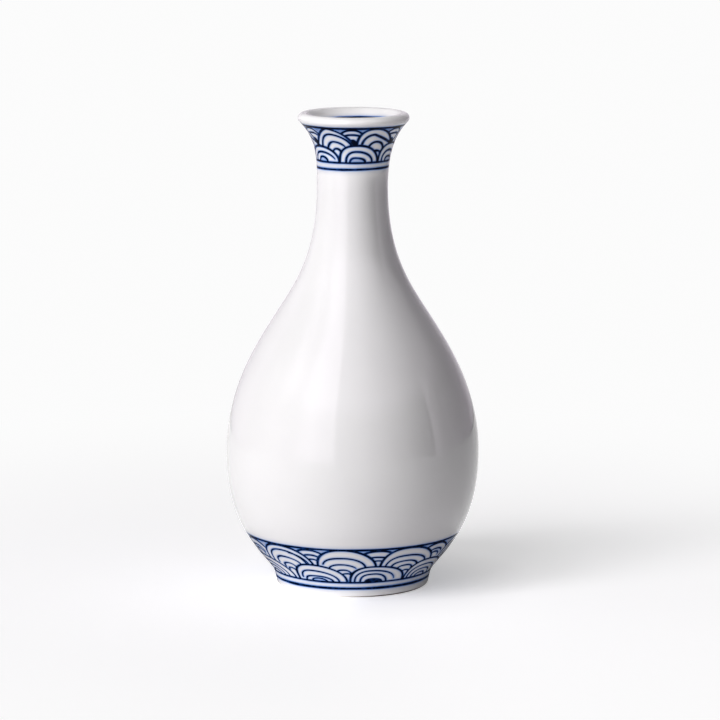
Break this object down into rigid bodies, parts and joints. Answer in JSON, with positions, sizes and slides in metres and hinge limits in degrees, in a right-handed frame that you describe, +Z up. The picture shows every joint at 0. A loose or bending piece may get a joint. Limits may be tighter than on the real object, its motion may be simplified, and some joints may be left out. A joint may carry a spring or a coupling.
{
  "type": "sake bottle",
  "caption": "Porcelain sake bottle with a round belly on a low foot ring, a slender neck and a flared mouth, banded with a blue wave pattern at the base and the collar.",
  "frame": {"origin": "centre of the standing rim, on the surface that the bottle stands on", "axes": "+Z up along the bottle's axis of turning; the bottle is round, so X and Y are alike"},
  "size_m": [0.08, 0.08, 0.15],
  "materials": {
    "glazed_porcelain": "clear gloss glaze over white porcelain, with underglaze cobalt painting",
    "foot_porcelain": "gloss glaze that stops short of a bare, slightly toasted standing rim"
  },
  "bodies": {
    "root": {"foot_ring": "foot_porcelain", "bowl": "glazed_porcelain", "shoulder": "glazed_porcelain", "neck": "glazed_porcelain", "mouth": "glazed_porcelain"}
  },
  "joints": []
}
